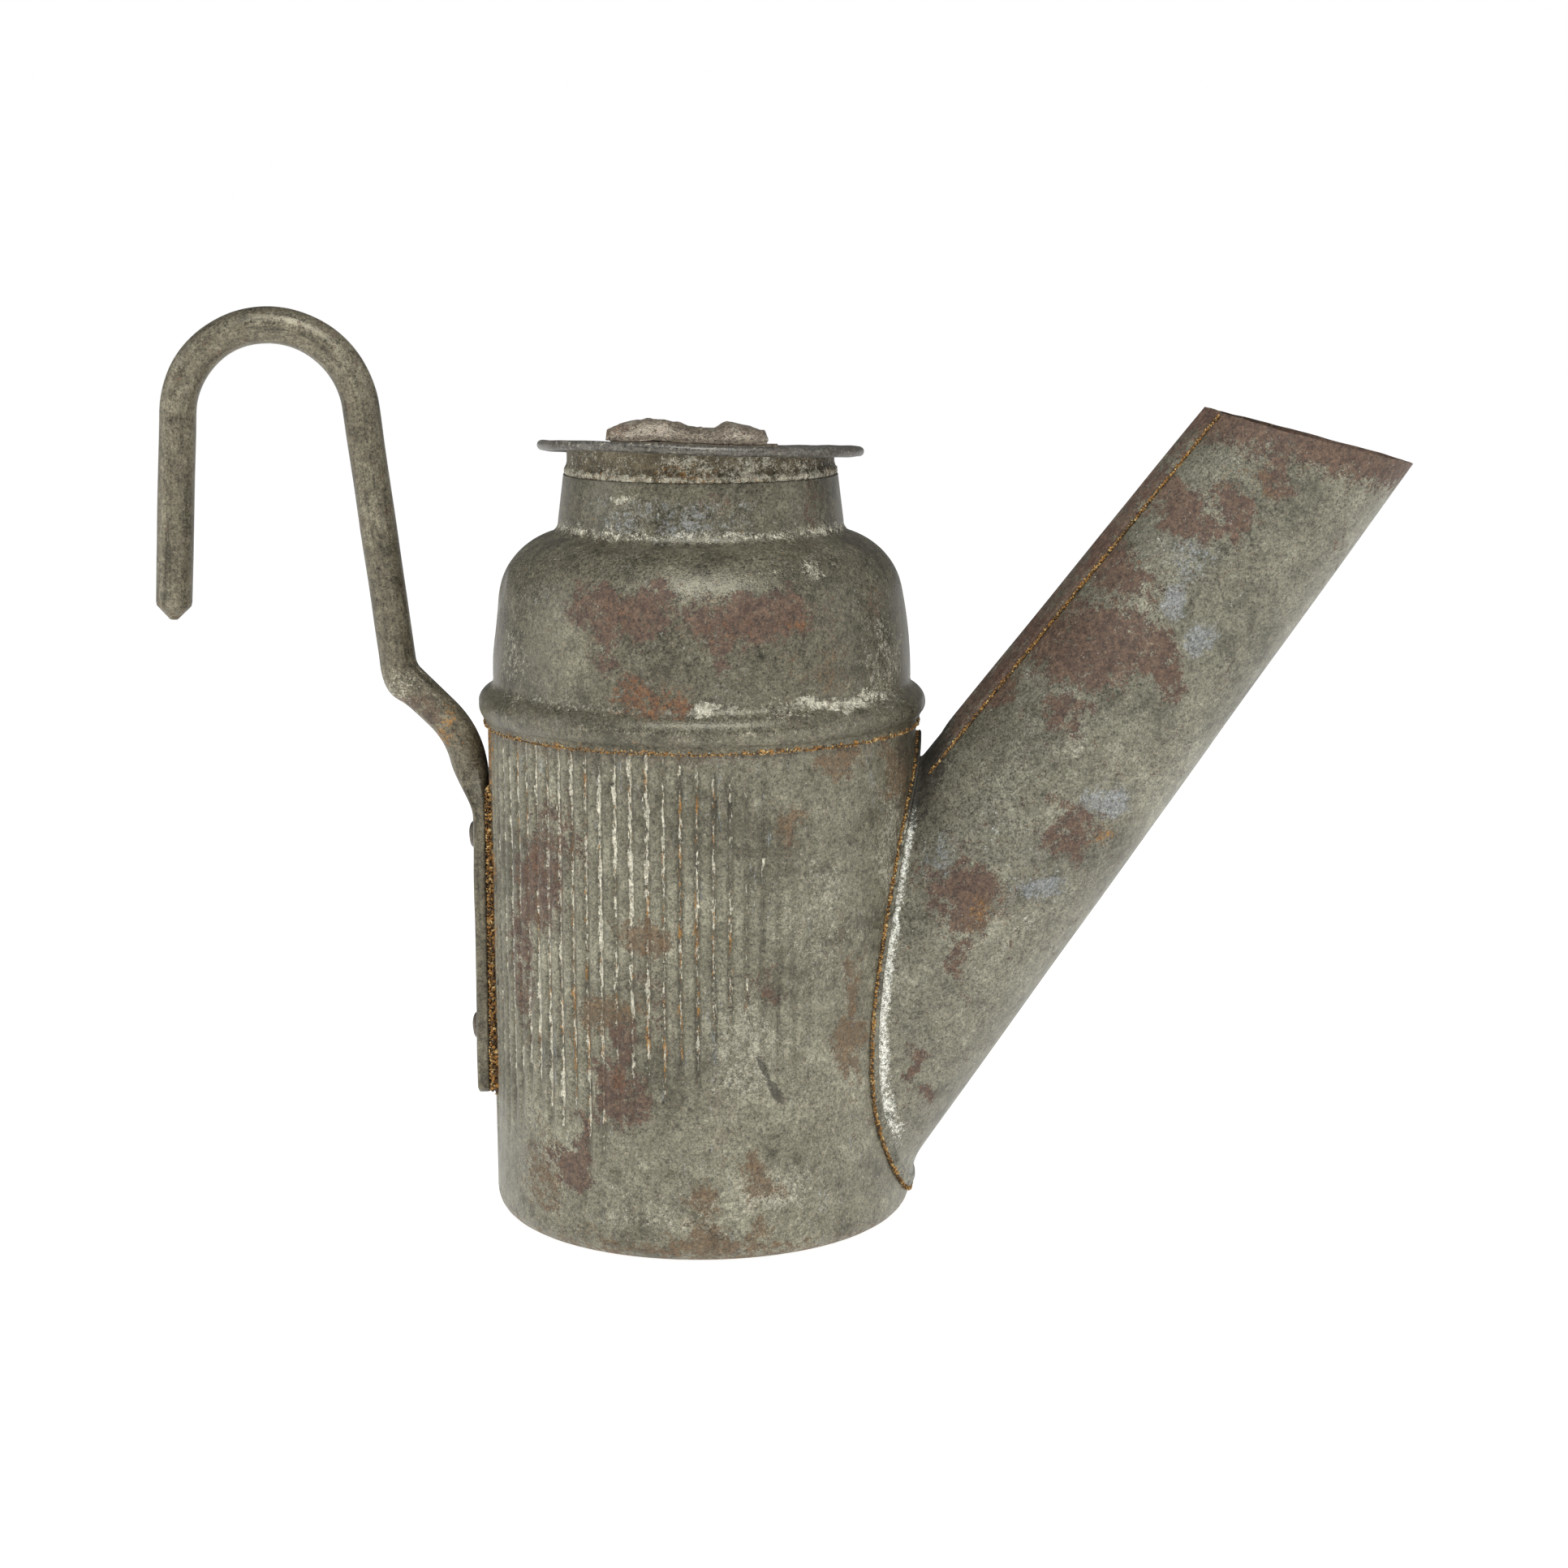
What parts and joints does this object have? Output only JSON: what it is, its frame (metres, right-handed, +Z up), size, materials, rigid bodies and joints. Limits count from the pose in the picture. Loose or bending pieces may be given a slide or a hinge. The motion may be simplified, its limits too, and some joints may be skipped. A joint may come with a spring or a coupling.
{
  "type": "oil wick lamp",
  "caption": "Tinned sheet-steel oil-wick lamp: a fluted drawn cup with a domed shoulder, a wide slanted spout for the wick, a push-in lid and a riveted hanging hook.",
  "frame": {"origin": "on the cup's axis, in the plane that its foot stands on", "axes": "+Z up along the cup's axis, +X towards the spout, the hook on the -X side"},
  "size_m": [0.1637, 0.0586, 0.1197],
  "materials": {
    "cup_sheet": "weathered tinned steel with rust mottling",
    "shoulder_sheet": "weathered tinned steel with rust mottling",
    "spout_sheet": "weathered tinned steel with rust blotches",
    "hook_iron": "dark drawn rod with lengthwise streaks",
    "rivet_iron": "rusted",
    "lid_sheet": "rusty tinned steel",
    "plug_sheet": "tinned steel with white and yellow deposit",
    "grip_sheet": "rusty crumpled sheet"
  },
  "bodies": {
    "can": {"font_body": "cup_sheet", "shoulder": "shoulder_sheet", "spout": "spout_sheet", "hook": "hook_iron", "hook_rivets": "rivet_iron"},
    "lid": {"lid_disc": "lid_sheet", "lid_plug": "plug_sheet", "lid_grip": "grip_sheet"}
  },
  "joints": [
    {"name": "lid_lift", "type": "slide", "parent": "can", "child": "lid", "axis": [0, 0, 1], "range_m": [0, 0.03]}
  ]
}
